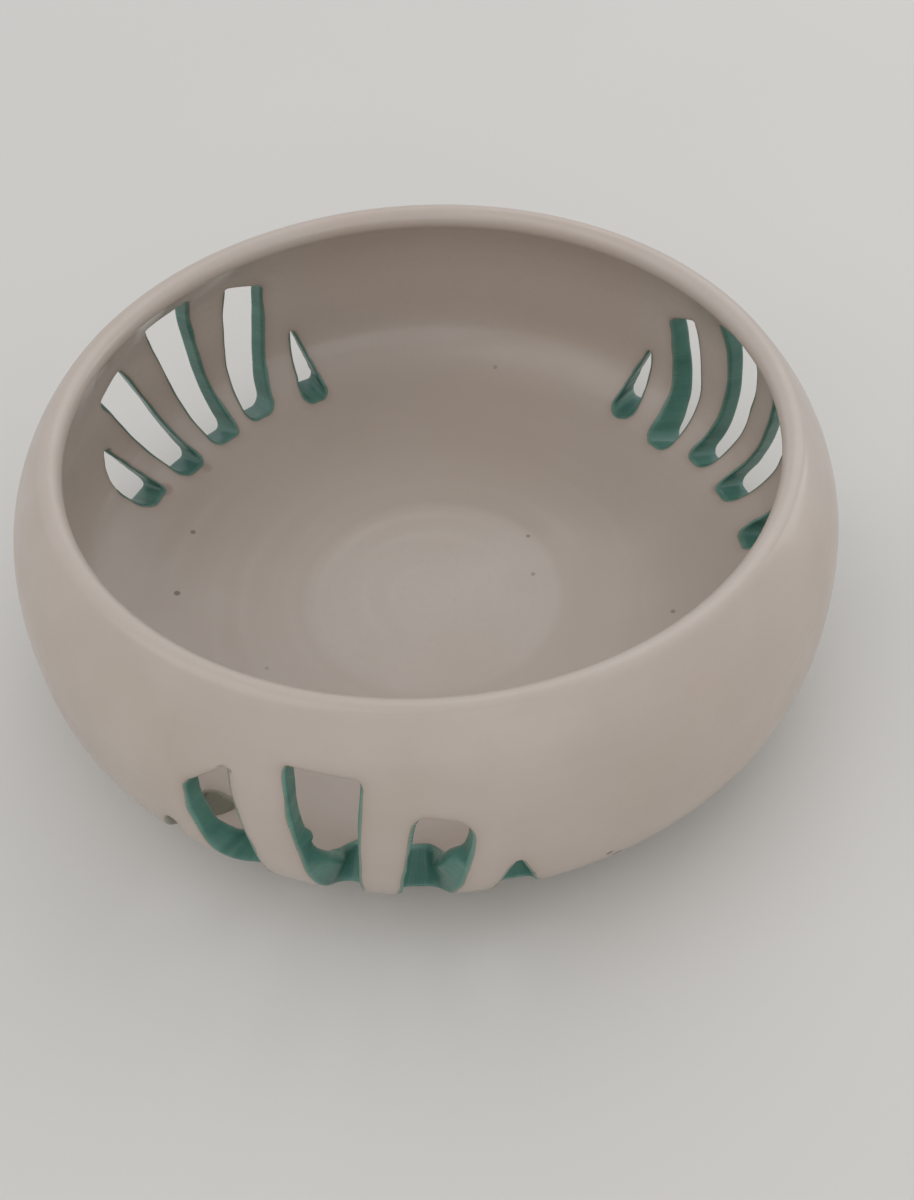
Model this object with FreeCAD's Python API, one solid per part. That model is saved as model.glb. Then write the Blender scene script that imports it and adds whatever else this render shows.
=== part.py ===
import FreeCAD, Part
import math
import os

# A wide, low, wheel-thrown stoneware bowl for a ball of yarn.  Its wall closes in
# to a rolled lip, and three fans of five slots are cut through the wall.  The
# strand is fed out through a slot.  Each slot is lined with green glaze.
# Millimetres, +Z up, standing on Z = 0, with the axis of the bowl on Z.

os.makedirs("parts", exist_ok=True)

# Outside of the pot
BELLY_RADIUS = 130.0
BELLY_HEIGHT = 43.0
UNDERSIDE_FULLNESS = 2.6      # superellipse exponent of the curve under the belly
BOWL_HEIGHT = 92.0

# Rolled lip: a round bead that both walls run into tangentially
LIP_RADIUS = 4.0
LIP_CENTRE_RADIUS = 112.0
LIP_CENTRE_HEIGHT = BOWL_HEIGHT - LIP_RADIUS
LIP_LEAN_OUTSIDE = 40.0       # degrees that the outer wall leans in at the lip
LIP_LEAN_INSIDE = 45.0        # the same for the inner wall
OUTER_LIP_TURN = LIP_LEAN_OUTSIDE           # where the walls meet the bead, round it
INNER_LIP_TURN = 180.0 + LIP_LEAN_INSIDE    # from its outermost point

# Inside of the pot
HOLLOW_RADIUS = 123.5
HOLLOW_HEIGHT = 46.0          # height of the widest place inside
FLOOR_HEIGHT = 9.0
FLOOR_FULLNESS = 3.0

# Foot ring, turned after throwing
FOOT_HEIGHT = 4.5
FOOT_OUTER_RADIUS = 68.0
FOOT_INNER_RADIUS = 58.0
FOOT_EDGE = 1.0
RECESS_HEIGHT = 3.5

# Where round stretches get a place of their own, by the angle of their parameter
ROUND_STATIONS = (40.0, 60.0, 75.0)

# Slots.  The knife always points at one place on the bowl's axis, so every cut is
# a cone from there, square to the wall at mid height.
KNIFE_HEIGHT = 52.0
CUT_START = 90.0              # distance of the tool's two ends from the bowl's axis
CUT_END = 140.0
FOOT_CORNER = 3.2             # how far a corner's rounding reaches along both edges
HEAD_CORNER = 2.0
NARROW_END_CORNER = 0.4       # the most that a rounding takes of an end's width
GLAZE_THICKNESS = 0.8

# One row for each slot, as it is cut before glazing, on the inner wall: azimuths in
# degrees of its two long edges at the foot, the middle and the head, the heights of
# the foot and the head, and how much higher the head is at the second edge.
SLOT_FANS = {
    "front_fan": [
        ((231.0, 233.0, 234.6), (237.8, 237.0, 236.4), 20.0, 40.0, 0.0),
        ((245.0, 240.0, 239.2), (250.0, 247.8, 246.0), 20.0, 68.5, 7.0),
        ((256.0, 253.6, 252.4), (260.6, 261.3, 262.4), 20.0, 77.0, 0.0),
        ((264.5, 266.0, 268.0), (270.4, 273.6, 275.2), 20.0, 65.5, -3.0),
        ((275.8, 277.0, 278.4), (283.0, 282.2, 279.6), 20.0, 47.0, 0.0),
    ],
    "back_right_fan": [
        ((1.2, 2.9, 4.4), (7.6, 6.9, 5.8), 20.0, 41.0, 0.0),
        ((13.5, 11.5, 9.2), (19.8, 17.8, 15.8), 20.5, 65.0, 2.0),
        ((23.6, 22.0, 20.0), (29.5, 29.2, 30.6), 20.5, 76.0, -2.0),
        ((32.6, 34.9, 37.4), (38.9, 41.4, 43.2), 18.5, 62.5, -6.0),
        ((43.8, 45.1, 46.0), (49.7, 48.8, 47.0), 19.5, 40.5, 0.0),
    ],
    "back_left_fan": [
        ((110.8, 112.2, 113.8), (116.9, 115.7, 114.9), 18.5, 40.0, 0.0),
        ((123.0, 119.3, 118.6), (129.4, 127.4, 126.2), 19.5, 68.5, 6.0),
        ((131.6, 132.4, 134.2), (138.7, 140.0, 144.4), 19.0, 76.0, -2.0),
        ((142.4, 144.8, 149.6), (149.0, 150.9, 155.4), 18.5, 61.5, -7.0),
        ((153.0, 155.0, 157.8), (159.6, 160.3, 158.9), 19.5, 42.0, 0.0),
    ],
}


def section_point(radius, height):
    """A point of the bowl's section, in the XZ plane."""
    return FreeCAD.Vector(radius, 0.0, height)


def lip_point(degrees):
    """A point on the bead of the lip, by its angle above the outward direction."""
    angle = math.radians(degrees)
    radius = LIP_CENTRE_RADIUS + LIP_RADIUS * math.cos(angle)
    return section_point(radius, LIP_CENTRE_HEIGHT + LIP_RADIUS * math.sin(angle))


def heading(degrees):
    """A direction in the section, by its angle above the outward direction."""
    angle = math.radians(degrees)
    return FreeCAD.Vector(math.cos(angle), 0.0, math.sin(angle))


def closing_power(drop, rise, lean):
    """The power of the height by which a wall falls in to arrive with a lean."""
    return math.tan(math.radians(lean)) * rise / drop


def hollow_radius(height):
    """Radius of the inner wall, from the floor up to the lip."""
    if height < HOLLOW_HEIGHT:
        share = (HOLLOW_HEIGHT - height) / (HOLLOW_HEIGHT - FLOOR_HEIGHT)
        return HOLLOW_RADIUS * (1.0 - share ** FLOOR_FULLNESS) ** (1.0 / FLOOR_FULLNESS)
    lip = lip_point(INNER_LIP_TURN)
    drop = HOLLOW_RADIUS - lip.x
    rise = lip.z - HOLLOW_HEIGHT
    share = (height - HOLLOW_HEIGHT) / rise
    return HOLLOW_RADIUS - drop * share ** closing_power(drop, rise, LIP_LEAN_INSIDE)


def rounded_stations(start, end, fullness):
    """Places along a superellipse quarter, each with the direction there.

    The quarter is level at its start and upright at its end.
    """
    width = end.x - start.x
    rise = end.z - start.z
    stations = [(start, heading(0.0))]
    for turn in ROUND_STATIONS:
        across = math.sin(math.radians(turn))
        up = math.cos(math.radians(turn))
        power = 2.0 / fullness
        place = section_point(start.x + width * across ** power, end.z - rise * up ** power)
        along = FreeCAD.Vector(width * across ** (power - 1.0) * up, 0.0, rise * up ** (power - 1.0) * across)
        stations.append((place, along / along.Length))
    return stations + [(end, heading(90.0))]


def closing_stations(widest, lip_turn, lean):
    """A place half-way up a closing wall and its end on the lip, with the directions.

    The wall falls in by a power of the height above its widest place, and the
    power makes it arrive at the lip with the given lean.
    """
    lip = lip_point(lip_turn)
    drop = widest.x - lip.x
    rise = lip.z - widest.z
    power = closing_power(drop, rise, lean)
    place = section_point(widest.x - drop * 0.5 ** power, widest.z + 0.5 * rise)
    along = FreeCAD.Vector(-drop * power * 0.5 ** (power - 1.0), 0.0, rise)
    return [(place, along / along.Length), (lip, heading(90.0 + lean))]


def tangent_arcs(points, direction):
    """A chain of arcs through the points, each tangent to the one before.

    An arc that leaves its start in one direction bulges by half of the angle
    between that direction and its chord, and arrives with the direction mirrored
    about the chord.
    """
    edges = []
    for start, end in zip(points, points[1:]):
        chord = end - start
        along = chord / chord.Length
        aim = direction + along
        middle = start + aim * (chord.Length / aim.Length ** 2)
        edges.append(Part.Arc(start, middle, end).toShape())
        direction = along * (2.0 * along.dot(direction)) - direction
    return edges


def swept_wall(stations):
    """Two tangent arcs between each station and the next, in the given directions.

    The two arcs meet half-way between the tips of equal lengths laid off along
    both directions, and the length solves the quadratic that makes them tangent.
    """
    edges = []
    for (start, leaving), (end, arriving) in zip(stations, stations[1:]):
        chord = end - start
        spread = 2.0 * (1.0 - leaving.dot(arriving))
        run = chord.dot(leaving + arriving)
        length = (math.sqrt(run ** 2 + spread * chord.Length ** 2) - run) / spread
        joint = (start + leaving * length + end - arriving * length) * 0.5
        edges += tangent_arcs([start, joint, end], leaving)
    return edges


def foot_ring_edges():
    """The underside from the axis to the foot of the outer wall."""
    corners = [
        (0.0, RECESS_HEIGHT),
        (FOOT_INNER_RADIUS - RECESS_HEIGHT + FOOT_EDGE, RECESS_HEIGHT),
        (FOOT_INNER_RADIUS, FOOT_EDGE),
        (FOOT_INNER_RADIUS + FOOT_EDGE, 0.0),
        (FOOT_OUTER_RADIUS - FOOT_EDGE, 0.0),
        (FOOT_OUTER_RADIUS, FOOT_EDGE),
        (FOOT_OUTER_RADIUS, FOOT_HEIGHT),
    ]
    points = [section_point(radius, height) for radius, height in corners]
    return [Part.makeLine(a, b) for a, b in zip(points, points[1:])]


def outer_edges():
    """The outside, from the foot ring up to the lip."""
    foot = section_point(FOOT_OUTER_RADIUS, FOOT_HEIGHT)
    belly = section_point(BELLY_RADIUS, BELLY_HEIGHT)
    rising = rounded_stations(foot, belly, UNDERSIDE_FULLNESS)
    return swept_wall(rising + closing_stations(belly, OUTER_LIP_TURN, LIP_LEAN_OUTSIDE))


def lip_edges():
    """The bead of the lip, from the outer wall over the top to the inner wall."""
    turns = [OUTER_LIP_TURN, 0.5 * (OUTER_LIP_TURN + INNER_LIP_TURN), INNER_LIP_TURN]
    return [Part.Arc(*[lip_point(turn) for turn in turns]).toShape()]


def inner_edges():
    """The inside, from the middle of the floor up to the lip."""
    middle = section_point(0.0, FLOOR_HEIGHT)
    widest = section_point(HOLLOW_RADIUS, HOLLOW_HEIGHT)
    rising = rounded_stations(middle, widest, FLOOR_FULLNESS)
    return swept_wall(rising + closing_stations(widest, INNER_LIP_TURN, LIP_LEAN_INSIDE))


def thrown_bowl():
    """The bowl as it leaves the wheel, with its turned foot and no slots."""
    axis_line = Part.makeLine(section_point(0.0, FLOOR_HEIGHT), section_point(0.0, RECESS_HEIGHT))
    edges = foot_ring_edges() + outer_edges() + lip_edges() + inner_edges() + [axis_line]
    section = Part.Face(Part.Wire(Part.__sortEdges__(edges)))
    return section.revolve(FreeCAD.Vector(), FreeCAD.Vector(0.0, 0.0, 1.0), 360.0)


def cut_point(azimuth, facing, height, distance):
    """Where the cut through a place on the inner wall meets the plane at a distance."""
    out = distance / math.cos(azimuth - facing)
    slope = (height - KNIFE_HEIGHT) / hollow_radius(height)
    return FreeCAD.Vector(out * math.cos(azimuth), out * math.sin(azimuth), KNIFE_HEIGHT + slope * out)


def rounded_outline(edges, setbacks):
    """The edges joined in a ring, with an arc at each corner.

    setbacks says how far the edges are cut back at the corner before each of them.
    """
    trimmed = []
    for edge, before, after in zip(edges, setbacks, setbacks[1:] + setbacks[:1]):
        start = edge.getParameterByLength(before)
        end = edge.getParameterByLength(edge.Length - after)
        trimmed.append(edge.Curve.toShape(start, end))
    ring = []
    for last, following in zip(trimmed[-1:] + trimmed[:-1], trimmed):
        tip = last.valueAt(last.LastParameter)
        ring += tangent_arcs([tip, following.valueAt(following.FirstParameter)], last.tangentAt(last.LastParameter))
        ring.append(following)
    return Part.Wire(ring)


def slot_outline(row, shrink, distance):
    """A slot's outline in the plane that stands at a distance from the axis.

    The long edges are arcs through three places, the ends are straight, and the
    corners are rounded.  shrink moves the outline inwards by a length all round.
    """
    first, second, foot, head, slant = row
    facing = math.radians(0.25 * (first[0] + second[0] + first[2] + second[2]))
    heights = [foot + shrink, 0.5 * (foot + head), head - shrink]
    rises = [0.0, 0.25 * slant, 0.5 * slant]
    sides = []
    for azimuths, sign in ((first, -1.0), (second, 1.0)):
        levels = [height + sign * rise for height, rise in zip(heights, rises)]
        turns = [math.radians(azimuth) - sign * shrink / HOLLOW_RADIUS for azimuth in azimuths]
        sides.append([cut_point(turn, facing, z, distance) for turn, z in zip(turns, levels)])
    left, right = sides
    edges = [
        Part.makeLine(left[0], right[0]),
        Part.Arc(*right).toShape(),
        Part.makeLine(right[2], left[2]),
        Part.Arc(*left[::-1]).toShape(),
    ]
    scale = distance / HOLLOW_RADIUS
    foot_corner = min(FOOT_CORNER * scale, NARROW_END_CORNER * edges[0].Length)
    head_corner = min(HEAD_CORNER * scale, NARROW_END_CORNER * edges[2].Length)
    return rounded_outline(edges, [foot_corner, foot_corner, head_corner, head_corner])


def slot_tool(row, shrink):
    """The solid that a slot takes away, longer than the wall is thick."""
    ends = [slot_outline(row, shrink, CUT_START), slot_outline(row, shrink, CUT_END)]
    return Part.makeLoft(ends, True, True)


def main():
    thrown = thrown_bowl()
    tools = {}
    for fan, rows in SLOT_FANS.items():
        for number, row in enumerate(rows, 1):
            tools[f"{fan}_slot_{number}_glaze"] = (slot_tool(row, 0.0), slot_tool(row, GLAZE_THICKNESS))
    solids = {"bowl_body": thrown.cut([cut for cut, opening in tools.values()])}
    for name, (cut, opening) in tools.items():
        solids[name] = cut.cut(opening).common(thrown)
    for name, shape in solids.items():
        solid = shape.Solids[0]
        solid.exportStep(f"parts/{name}.step")
        print(name, len(shape.Solids), solid.isValid(), round(solid.Volume), len(solid.Faces))


main()
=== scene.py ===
import math

import bmesh
import bpy
import numpy as np
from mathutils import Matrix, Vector


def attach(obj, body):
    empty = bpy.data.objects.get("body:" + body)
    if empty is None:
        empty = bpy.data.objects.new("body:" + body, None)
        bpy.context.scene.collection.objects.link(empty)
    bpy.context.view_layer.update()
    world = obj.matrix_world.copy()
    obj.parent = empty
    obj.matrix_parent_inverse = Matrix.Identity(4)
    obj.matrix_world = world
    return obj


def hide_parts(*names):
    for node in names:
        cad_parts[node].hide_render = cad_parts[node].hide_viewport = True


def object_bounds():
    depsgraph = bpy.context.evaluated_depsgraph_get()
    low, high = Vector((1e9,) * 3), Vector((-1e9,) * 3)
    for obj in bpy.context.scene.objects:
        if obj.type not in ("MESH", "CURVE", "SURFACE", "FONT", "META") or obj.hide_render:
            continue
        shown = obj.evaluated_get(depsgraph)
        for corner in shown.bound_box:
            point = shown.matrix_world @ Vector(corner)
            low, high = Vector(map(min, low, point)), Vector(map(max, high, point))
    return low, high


bl_info = {
    "name": "Yarn Bowl",
    "version": (1, 0, 0),
    "blender": (4, 5, 0),
    "location": "View3D > Sidebar > Yarn Bowl",
    "description": "Makes a thrown stoneware yarn bowl with green glaze in its slots",
    "category": "Object",
}

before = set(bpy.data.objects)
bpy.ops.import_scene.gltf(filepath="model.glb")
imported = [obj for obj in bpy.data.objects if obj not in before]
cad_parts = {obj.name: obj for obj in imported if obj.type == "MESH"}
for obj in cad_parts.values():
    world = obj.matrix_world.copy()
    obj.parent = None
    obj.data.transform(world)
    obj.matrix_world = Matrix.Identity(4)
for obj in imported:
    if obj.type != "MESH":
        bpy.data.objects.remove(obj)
CAD_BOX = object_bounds()

MM = 0.001

# Section of the pot, in metres.  The widest place and the height are the frame's.
BELLY_RADIUS = CAD_BOX[1][0]
BOWL_HEIGHT = CAD_BOX[1][2]
BELLY_HEIGHT = 43.0 * MM
UNDERSIDE_FULLNESS = 2.6
LIP_RADIUS = 4.0 * MM
LIP_CENTRE_RADIUS = 112.0 * MM
LIP_CENTRE_HEIGHT = BOWL_HEIGHT - LIP_RADIUS
OUTER_LIP_TURN = math.radians(40.0)
INNER_LIP_TURN = math.radians(225.0)
LIP_LEAN_OUTSIDE = math.radians(40.0)
LIP_LEAN_INSIDE = math.radians(45.0)
HOLLOW_RADIUS = 123.5 * MM
FLOOR_FULLNESS = 3.0
FOOT_HEIGHT = 4.5 * MM
FOOT_OUTER_RADIUS = 68.0 * MM
FOOT_INNER_RADIUS = 58.0 * MM
FOOT_EDGE = 1.0 * MM
RECESS_HEIGHT = 3.5 * MM
FLOOR_MIDDLE, WIDEST_HOLLOW = (0.0, 9.0 * MM), (HOLLOW_RADIUS, 46.0 * MM)
FOOT_CORNER, WIDEST_BELLY = (FOOT_OUTER_RADIUS, FOOT_HEIGHT), (BELLY_RADIUS, BELLY_HEIGHT)

# The place on the axis that all cuts lead to, and the most that a corner may be, in
# widths of its end of the slot: across the slot and along it.
KNIFE_HEIGHT = 52.0 * MM
NARROW_END_CORNER = 0.4
TALL_END_CORNER = 2.0

# Slots, on the inner wall: azimuths in degrees of the first and the second long edge
# at the foot, the middle and the head, heights in millimetres of the foot and the head,
# and how much higher the head is at the second edge.
SLOT_FANS = {
    "front_fan": [
        ((231.0, 233.0, 234.6), (237.8, 237.0, 236.4), 20.0, 40.0, 0.0),
        ((245.0, 240.0, 239.2), (250.0, 247.6, 245.6), 20.0, 66.8, 11.0),
        ((256.0, 253.6, 252.4), (260.6, 261.3, 262.4), 20.0, 76.0, -1.5),
        ((264.5, 266.0, 268.0), (270.4, 273.6, 275.2), 20.0, 64.2, -3.0),
        ((275.8, 277.0, 279.2), (283.0, 282.2, 280.4), 20.0, 43.5, 0.0),
    ],
    "back_right_fan": [
        ((1.2, 2.9, 4.4), (7.6, 6.9, 5.8), 20.0, 41.0, 0.0),
        ((13.5, 11.5, 9.2), (19.8, 17.8, 15.8), 20.5, 62.5, 3.0),
        ((23.6, 22.0, 20.0), (29.5, 29.2, 30.6), 20.5, 76.0, -2.0),
        ((32.6, 34.9, 37.4), (38.9, 41.4, 43.2), 18.5, 62.5, -6.0),
        ((43.8, 45.1, 46.0), (49.7, 48.8, 47.0), 19.5, 40.5, 0.0),
    ],
    "back_left_fan": [
        ((110.8, 112.2, 113.8), (116.9, 115.7, 114.9), 18.5, 40.0, 0.0),
        ((123.0, 119.3, 118.6), (129.4, 127.4, 126.2), 19.5, 68.5, 6.0),
        ((131.6, 132.4, 134.2), (138.7, 140.0, 144.4), 19.0, 76.0, -2.0),
        ((142.4, 144.8, 149.6), (149.0, 151.5, 155.6), 18.5, 61.5, -7.0),
        ((153.0, 154.8, 157.4), (159.8, 160.4, 160.6), 19.5, 34.5, -15.0),
    ],
}

SLOT_ROWS = {
    f"{fan}_slot_{number}": row
    for fan, rows in SLOT_FANS.items()
    for number, row in enumerate(rows, 1)
}

# How far a cut strays on its way out: degrees further round at the foot, the middle
# and the head, and millimetres higher.
NO_STRAY = 4 * (0.0,)
CUT_STRAYS = {
    "front_fan_slot_3": (0.0, 0.0, 0.0, -0.6),
    "front_fan_slot_4": (0.0, 0.0, 0.0, -0.4),
    "back_right_fan_slot_2": (0.7, 0.6, 0.5, 0.0),
    "back_right_fan_slot_3": (-0.5, -0.35, -0.35, 0.0),
    "back_right_fan_slot_4": (-2.3, -1.7, -1.1, 0.0),
    "back_right_fan_slot_5": (0.0, 0.0, 0.0, 2.0),
    "back_left_fan_slot_1": (0.5, 0.5, 0.3, 2.0),
    "back_left_fan_slot_2": (0.45, 1.1, 0.6, 0.0),
    "back_left_fan_slot_3": (0.6, 0.65, 0.6, 0.0),
    "back_left_fan_slot_4": (-0.9, -0.75, -0.6, 0.2),
    "back_left_fan_slot_5": (-1.5, -1.2, -1.0, 0.0),
}

# Radii of a slot's corners in millimetres, on the inner and on the outer face: the
# first and the second foot corner, then the first and the second head corner.
USUAL_CORNERS = 2 * ((4.6, 4.6, 2.0, 2.0),)
OTHER_CORNERS = {
    "front_fan_slot_2": ((9.0, 4.6, 2.0, 2.0), (4.6, 4.6, 2.0, 2.0)),
    "front_fan_slot_3": ((14.0, 4.6, 2.0, 2.0), (4.6, 3.0, 2.0, 3.0)),
    "front_fan_slot_4": ((4.6, 12.0, 2.0, 7.0), (3.0, 4.6, 3.5, 7.0)),
    "back_right_fan_slot_5": 2 * ((4.6, 4.6, 0.85, 0.85),),
    "back_left_fan_slot_1": 2 * ((4.6, 4.6, 0.9, 0.9),),
}

# Lumps of green glaze on the inner edges of slots: the share of the way round the slot
# from its first foot corner, millimetres tall, and the share of the way round that they
# take.  On the rim they stand at one place, reach both ways from it, and start gently.
LUMP_PLACE = 2.2 * MM
LUMP_REACH = 1.8 * MM
LUMP_START = 1.0 * MM
GLAZE_LUMPS = {
    "front_fan_slot_2": [(0.87, 1.2, 0.04)],
    "front_fan_slot_3": [(0.925, 4.6, 0.055), (0.81, 1.7, 0.012)],
    "front_fan_slot_4": [(0.165, 4.0, 0.07), (0.245, 4.2, 0.045), (0.295, 2.4, 0.03)],
    "back_right_fan_slot_5": [(0.07, 0.6, 0.02)],
}

# Slots whose green coat is thinner, and its share of the usual thickness
THIN_COATS = {"front_fan_slot_1": 0.12}

# Iron spots and stains in the pale glaze: azimuth in degrees, distance from the axis,
# height and radius in millimetres, and strength.
IRON_SPOTS = [
    (160.6, 90.4, 14.7, 0.7, 0.6),
    (179.4, 88.0, 14.1, 0.8, 0.7),
    (36.1, 43.5, 9.5, 0.6, 0.5),
    (11.1, 36.3, 9.3, 0.6, 0.4),
    (348.5, 82.8, 13.2, 0.6, 0.5),
    (209.7, 63.7, 10.8, 0.5, 0.3),
    (75.6, 111.0, 22.0, 0.6, 0.35),
    (293.1, 127.7, 27.5, 1.2, 0.9),
    (291.6, 129.0, 31.7, 0.8, 0.8),
]
IRON_STAINS = [
    (143.9, 102.4, 18.0, 1.2, 0.35),
    (153.6, 107.2, 19.8, 1.5, 0.45),
    (18.1, 109.0, 20.9, 1.6, 0.3),
]

# The band of the wall that holds the slots, in cells with one slot each
BAND_FOOT = 15.0 * MM
BAND_HEAD = 81.0 * MM
CELL_MARGIN = math.radians(3.2)
FACES = INSIDE, OUTSIDE = 0, 1

# How fine the mesh is
WALL_POINTS = 700
BAND_ROWS = 42
CELL_COLUMNS = 10
PLAIN_COLUMNS = 28
CELL_RINGS = 7
ROWS_PER_RING = 3
RING_CROWDING = 1.5
CORNER_POINTS = 12
STRAIGHT_POINTS = 60
CORNER_WEIGHT = 2.4
EDGE_TURNS = np.radians([0.0, 22.5, 45.0, 67.5, 90.0])
RIM_TURNS = np.radians([0.0, 18.0, 36.0, 54.0, 72.0, 90.0])
LAP_SHARES = (1.0, 0.66, 0.33)
CUT_STEPS = 5
LINING_STEPS = 7
FLOOR_POINTS = 56
UNDERSIDE_POINTS = 18
RECESS_POINTS = 10
FOOT_EDGE_POINTS = 5
OUTER_LIP_POINTS, LIP_TOP_POINTS, INNER_LIP_POINTS = 5, 15, 4
MERGE_DISTANCE = 2e-6

# Marks of throwing, as shares of the rings' depth.  A ripple has its share, its
# length, the waves that it climbs in a turn, and its phase.
FINGER_RIPPLES = [(0.5, 13.0 * MM, 1, 0.4), (0.4, 8.6 * MM, -1, 2.1)]
RIB_RIPPLE = (0.4, 17.0 * MM, 1, 1.3)
RIB_WAVE, RIB_WAVE_TURNS, RIB_WAVE_CLIMB = 0.5, 3.0, 30.0 * MM
RIB_START = 12.0 * MM
DISC_STEP, DISC_WIDTH, DISC_SHIFT = 1.6, 1.5 * MM, 2.0 * MM
FLOOR_STEP, FLOOR_WIDTH = 1.3, 5.0 * MM
CALM_MIDDLE = 9.0 * MM
LIP_WAVES, LIP_PHASE = 2.0, 0.6

# Uneven waves round a slot: how high they are, their seed and how many sines
EDGE_WAVE = (0.25, 200, 4)
KNIFE_WAVE = (1.0, 300, 7)
BRUSH_WAVE = (0.25, 100, 4)
HAIR_WAVE = (0.12, 120, 9)
RAGGED_WAVES = ((0.35, 50, 6), (0.35, 60, 6))

# The green coat: the laps from its outer end to where it shows, how fast it rises
# there, how deep its back and its end are in the clay, how softly a slot's head begins,
# and how far the brush marks shift from slot to slot.
COAT_START = 1.5
COAT_RISE = 0.9 * MM
SUNK_BACK = 0.35 * MM
SUNK_END = 0.12 * MM
HEAD_FADE = 0.01
FLOW_SHIFT = 0.1

# How far the green stains the pale glaze, and a distance out of its reach
STAIN_REACH = 1.6 * MM
FAR = 1.0


# --- section of the pot

joined = np.concatenate


def rounded_rise(start, end, fullness):
    """A superellipse quarter in radius and height, level at start and upright at end.

    It goes out by the sine of an angle to the power of two over the fullness, and up
    by one less the same power of the cosine.
    """
    angle = np.linspace(0.0, math.pi / 2, WALL_POINTS)
    across = np.sin(angle) ** (2.0 / fullness)
    up = 1.0 - np.cos(angle).clip(0.0) ** (2.0 / fullness)
    radius = start[0] + (end[0] - start[0]) * across
    return np.stack([radius, start[1] + (end[1] - start[1]) * up], -1)


def closing_rise(widest, lip, lean):
    """A wall that falls in by a power of the rise, and arrives with the given lean."""
    share = np.linspace(0.0, 1.0, WALL_POINTS)
    power = math.tan(lean) * (lip[1] - widest[1]) / (widest[0] - lip[0])
    radius = widest[0] - (widest[0] - lip[0]) * share**power
    return np.stack([radius, widest[1] + (lip[1] - widest[1]) * share], -1)


def lip_round(turns):
    """Places on the round of the lip, at angles above the outward direction."""
    turns = np.asarray(turns)
    radius = LIP_CENTRE_RADIUS + LIP_RADIUS * np.cos(turns)
    return np.stack([radius, LIP_CENTRE_HEIGHT + LIP_RADIUS * np.sin(turns)], -1)


def wall_line(start, widest, fullness, turn, lean):
    """One face of the wall, from its foot or its middle up to the lip."""
    closing = closing_rise(widest, lip_round(turn), lean)
    return joined([rounded_rise(start, widest, fullness), closing[1:]])


WALL_LINES = (
    wall_line(FLOOR_MIDDLE, WIDEST_HOLLOW, FLOOR_FULLNESS, INNER_LIP_TURN, LIP_LEAN_INSIDE),
    wall_line(FOOT_CORNER, WIDEST_BELLY, UNDERSIDE_FULLNESS, OUTER_LIP_TURN, LIP_LEAN_OUTSIDE),
)


def along(line):
    """Distance along a line of points, from its first."""
    return joined([[0.0], np.cumsum(np.linalg.norm(np.diff(line, axis=0), axis=1))])


def resampled(count, *parts):
    """Evenly spaced points along the parts of a line, taken together."""
    line = joined(parts)
    distance = along(line)
    places = np.linspace(0.0, distance[-1], count)
    return np.stack([np.interp(places, distance, line[:, k]) for k in (0, 1)], -1)


def cut_slopes(line):
    """Slope of the ray from the knife's place on the axis to each place of a line."""
    return (line[:, 1] - KNIFE_HEIGHT) / np.maximum(line[:, 0], MM)


WALL_LENGTHS = tuple(along(line) for line in WALL_LINES)
WALL_SLOPES = tuple(cut_slopes(line) for line in WALL_LINES)
WALL_STRETCH = tuple(map(np.gradient, WALL_LENGTHS, WALL_SLOPES))


def slope_of(height):
    """Slope of the cut through a height of the inner wall."""
    return np.interp(height, WALL_LINES[INSIDE][:, 1], WALL_SLOPES[INSIDE])


BAND_SLOPES = np.linspace(slope_of(BAND_FOOT), slope_of(BAND_HEAD), BAND_ROWS + 1)


def wall_place(slope, face):
    """Radius and height where a cut of the given slope leaves one face of the wall."""
    line = WALL_LINES[face]
    return [np.interp(slope, WALL_SLOPES[face], line[:, k]) for k in (0, 1)]


def face_measures(slope, face):
    """Metres on one face of the wall for a unit of azimuth and for a unit of slope."""
    return wall_place(slope, face)[0], np.interp(slope, WALL_SLOPES[face], WALL_STRETCH[face])


# --- the potter's marks

TURNING_CENTRE = 60.0 * MM
WALL_ANGLES = tuple(np.arctan2(line[:, 1] - TURNING_CENTRE, line[:, 0]) for line in WALL_LINES)


def ripple(distance, azimuth, share, length, turns, phase):
    """A sine along the section that climbs by whole waves in each turn, as a spiral."""
    return share * np.sin(2.0 * math.pi * distance / length + turns * azimuth + phase)


def soft_step(distance, place, width):
    """A hyperbolic tangent across a place along the section."""
    return np.tanh((distance - place) / width)


def section_distance(points, face):
    """Distance along the section of the place that each point is nearest to."""
    radius = np.hypot(points[..., 0], points[..., 1])
    angle = np.arctan2(points[..., 2] - TURNING_CENTRE, radius)
    return np.interp(angle, WALL_ANGLES[face], WALL_LENGTHS[face])


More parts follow.
